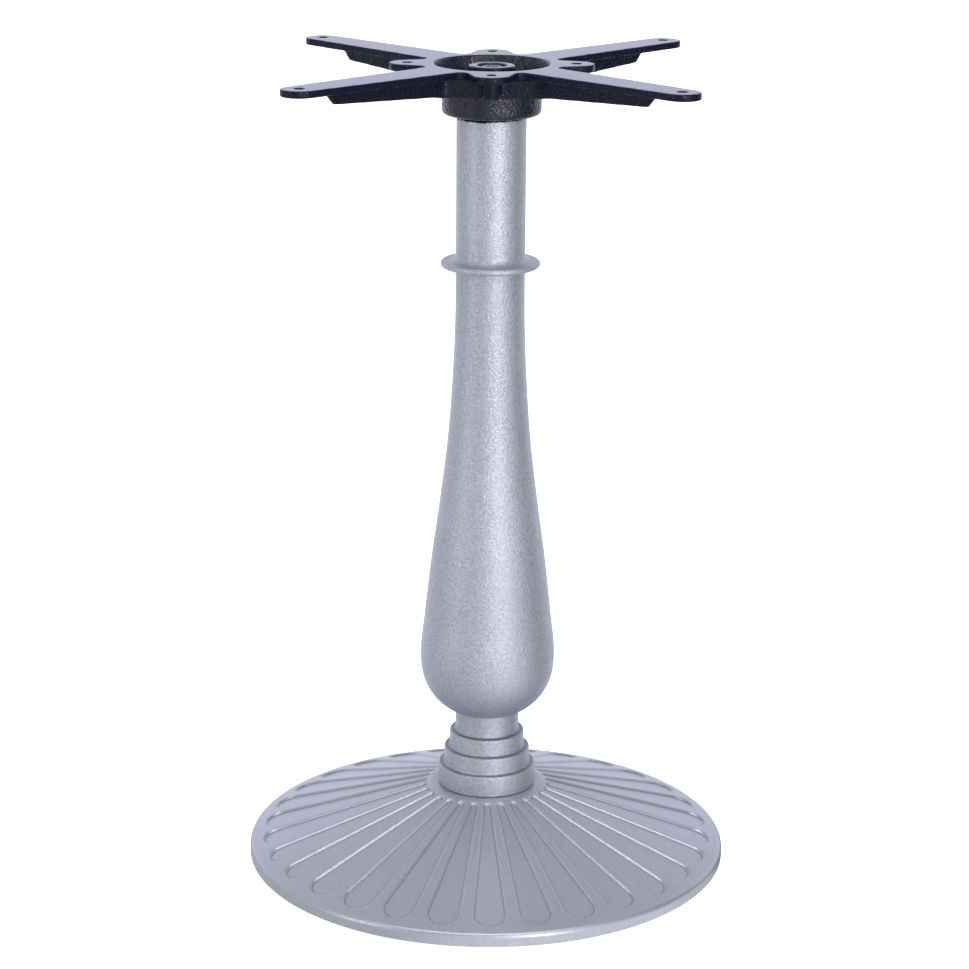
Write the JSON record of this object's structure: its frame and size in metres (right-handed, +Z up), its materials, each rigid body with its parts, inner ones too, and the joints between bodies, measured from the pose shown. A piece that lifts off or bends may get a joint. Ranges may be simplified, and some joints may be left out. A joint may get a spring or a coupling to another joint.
{
  "type": "pedestal table base",
  "caption": "Round pedestal table base: fluted cast foot plate, baluster column with ring and bulb, and a black cast spider with arms for the table top.",
  "frame": {"origin": "on the floor under the column's axis", "axes": "+Z up along the column; the spider's arms and the glides lie on the diagonals between +X and +Y; the lugs point along X and Y"},
  "size_m": [0.43, 0.43, 0.72],
  "materials": {
    "silver_plate": "satin silver metallic paint on cast iron",
    "silver_column": "silver metallic paint over a fine pebbled casting",
    "black_spider": "gloss black enamel over a rough casting",
    "zinc_steel": "zinc plated, slightly dulled",
    "glide_nylon": "moulded nylon"
  },
  "bodies": {
    "root": {"base_plate": "silver_plate", "column": "silver_column", "spider": "black_spider", "tie_rod": "zinc_steel", "top_washer": "zinc_steel", "top_nut": "zinc_steel", "bottom_washer": "zinc_steel", "bottom_nut": "zinc_steel"},
    "glide_1": {"glide_pad_1": "glide_nylon"},
    "screw_1": {"glide_stem_1": "zinc_steel"},
    "glide_2": {"glide_pad_2": "glide_nylon"},
    "screw_2": {"glide_stem_2": "zinc_steel"},
    "glide_3": {"glide_pad_3": "glide_nylon"},
    "screw_3": {"glide_stem_3": "zinc_steel"},
    "glide_4": {"glide_pad_4": "glide_nylon"},
    "screw_4": {"glide_stem_4": "zinc_steel"}
  },
  "joints": [
    {"name": "glide_1_travel", "type": "slide", "parent": "root", "child": "glide_1", "axis": [0, 0, -1], "range_m": [0, 0.008]},
    {"name": "screw_1_turn", "type": "hinge", "parent": "glide_1", "child": "screw_1", "pos_m": [0.12587, 0.12587, 0.004], "axis": [0, 0, -1], "range_deg": [0, 2304.5]},
    {"name": "glide_2_travel", "type": "slide", "parent": "root", "child": "glide_2", "axis": [0, 0, -1], "range_m": [0, 0.008]},
    {"name": "screw_2_turn", "type": "hinge", "parent": "glide_2", "child": "screw_2", "pos_m": [-0.12587, 0.12587, 0.004], "axis": [0, 0, -1], "range_deg": [0, 2304.5]},
    {"name": "glide_3_travel", "type": "slide", "parent": "root", "child": "glide_3", "axis": [0, 0, -1], "range_m": [0, 0.008]},
    {"name": "screw_3_turn", "type": "hinge", "parent": "glide_3", "child": "screw_3", "pos_m": [-0.12587, -0.12587, 0.004], "axis": [0, 0, -1], "range_deg": [0, 2304.5]},
    {"name": "glide_4_travel", "type": "slide", "parent": "root", "child": "glide_4", "axis": [0, 0, -1], "range_m": [0, 0.008]},
    {"name": "screw_4_turn", "type": "hinge", "parent": "glide_4", "child": "screw_4", "pos_m": [0.12587, -0.12587, 0.004], "axis": [0, 0, -1], "range_deg": [0, 2304.5]}
  ],
  "couplings": [
    {"joint": "screw_1_turn", "follows": "glide_1_travel", "rad_per_m": 5026.5},
    {"joint": "screw_2_turn", "follows": "glide_2_travel", "rad_per_m": 5026.5},
    {"joint": "screw_3_turn", "follows": "glide_3_travel", "rad_per_m": 5026.5},
    {"joint": "screw_4_turn", "follows": "glide_4_travel", "rad_per_m": 5026.5}
  ]
}
